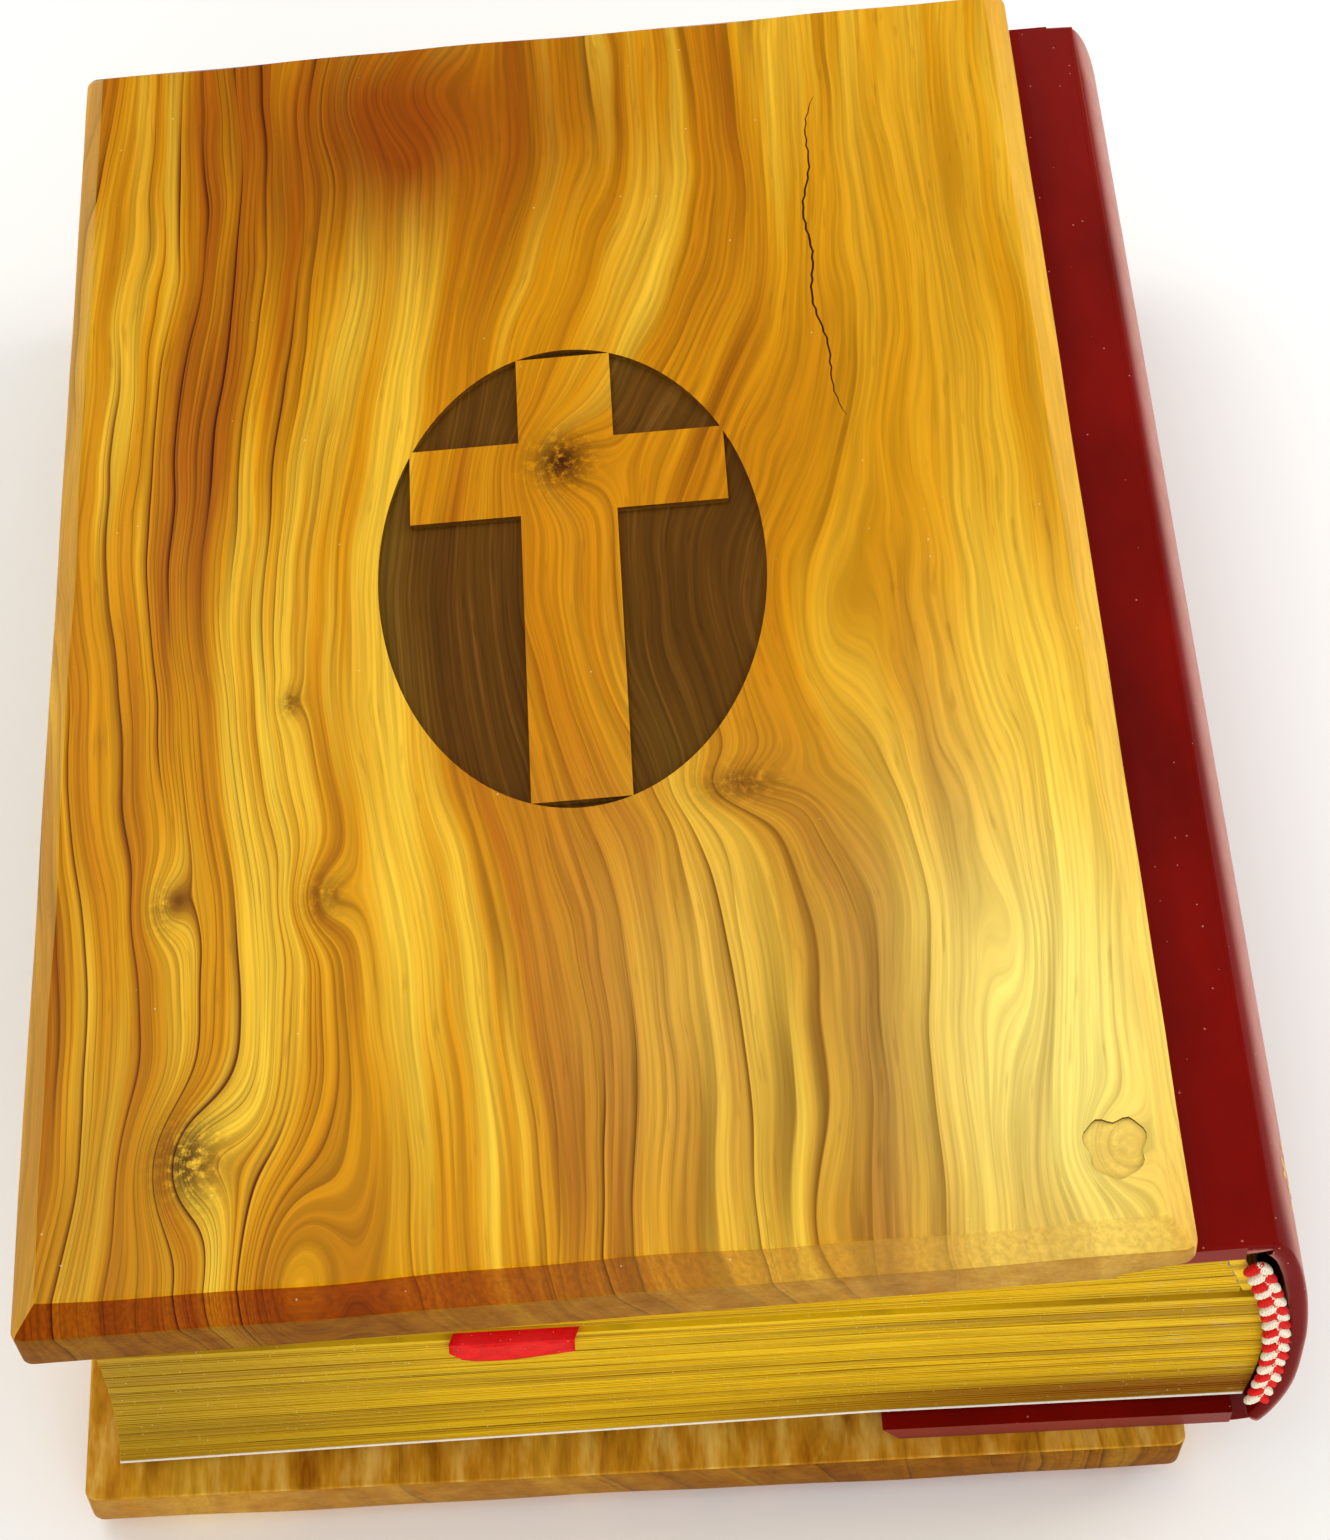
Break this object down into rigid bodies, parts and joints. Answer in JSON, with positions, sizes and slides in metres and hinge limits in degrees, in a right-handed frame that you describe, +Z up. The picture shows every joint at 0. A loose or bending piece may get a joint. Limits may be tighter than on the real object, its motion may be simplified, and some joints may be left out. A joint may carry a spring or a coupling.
{
  "type": "prayer book",
  "caption": "Prayer book between two chamfered olive-wood boards on a leatherette case; the covers open on leather joints and the leaves fan open at a ribbon.",
  "frame": {"origin": "bottom centre of the closed book's bounding box, on the surface its back board lies on", "axes": "+X towards the spine, +Y towards the head (top) of the pages, +Z up out of the front cover"},
  "size_m": [0.1232, 0.1676, 0.0469],
  "materials": {
    "olive_wood": "satin lacquer",
    "olive_wood_back": "planed, thin lacquer",
    "leatherette": "smooth satin leatherette",
    "board_core": "grey board",
    "endpapers": "uncoated",
    "gilt_pages": "gilt edges",
    "headband_cotton": "worked in two colours",
    "ribbon": "woven satin",
    "mull": "open weave, glued"
  },
  "bodies": {
    "back_cover": {"back_board": "olive_wood_back", "back_strip_board": "board_core", "back_cover_leather": "leatherette", "back_pastedown": "endpapers", "back_joint_leather": "leatherette"},
    "book_block": {"section_05": "gilt_pages", "section_06": "gilt_pages", "section_07": "gilt_pages", "section_08": "gilt_pages", "section_09": "gilt_pages", "section_10": "gilt_pages", "section_11": "gilt_pages", "section_12": "gilt_pages", "section_13": "gilt_pages", "section_14": "gilt_pages", "section_15": "gilt_pages", "marked_section_folds": "gilt_pages", "back_flyleaf": "endpapers", "spine_lining": "mull", "headband_tail": "headband_cotton", "headband_head": "headband_cotton", "ribbon_marker": "ribbon", "spine_leather": "leatherette", "spine_inlay": "board_core"},
    "marked_leaves_4": {"section_04": "gilt_pages"},
    "marked_leaves_3": {"section_03": "gilt_pages"},
    "marked_leaves_2": {"section_02": "gilt_pages"},
    "marked_leaves_1": {"section_01": "gilt_pages", "front_flyleaf": "endpapers"},
    "front_cover": {"front_board": "olive_wood", "front_strip_board": "board_core", "front_cover_leather": "leatherette", "front_pastedown": "endpapers", "front_joint_leather": "leatherette"}
  },
  "joints": [
    {"name": "back_joint", "type": "hinge", "parent": "back_cover", "child": "book_block", "pos_m": [0.05726, 0, 0.008], "axis": [0, 1, 0], "range_deg": [0, 90], "deforming": ["back_joint_leather"]},
    {"name": "front_joint", "type": "hinge", "parent": "book_block", "child": "front_cover", "pos_m": [0.05516, 0, 0.03994], "axis": [0, -1, 0], "range_deg": [-170, 0], "deforming": ["front_joint_leather"]},
    {"name": "leaves_4_turn", "type": "hinge", "parent": "book_block", "child": "marked_leaves_4", "pos_m": [0.05548, 0, 0.03066], "axis": [0, -1, 0], "range_deg": [-42.5, 0]},
    {"name": "leaves_3_turn", "type": "hinge", "parent": "book_block", "child": "marked_leaves_3", "pos_m": [0.05497, 0, 0.0322], "axis": [0, -1, 0], "range_deg": [-59.5, 0]},
    {"name": "leaves_2_turn", "type": "hinge", "parent": "book_block", "child": "marked_leaves_2", "pos_m": [0.05441, 0, 0.03373], "axis": [0, -1, 0], "range_deg": [-76.5, 0]},
    {"name": "leaves_1_turn", "type": "hinge", "parent": "book_block", "child": "marked_leaves_1", "pos_m": [0.05378, 0, 0.03527], "axis": [0, -1, 0], "range_deg": [-93.5, 0]}
  ],
  "couplings": [
    {"joint": "leaves_4_turn", "follows": "front_joint", "ratio": 0.25},
    {"joint": "leaves_3_turn", "follows": "front_joint", "ratio": 0.35},
    {"joint": "leaves_2_turn", "follows": "front_joint", "ratio": 0.45},
    {"joint": "leaves_1_turn", "follows": "front_joint", "ratio": 0.55}
  ]
}
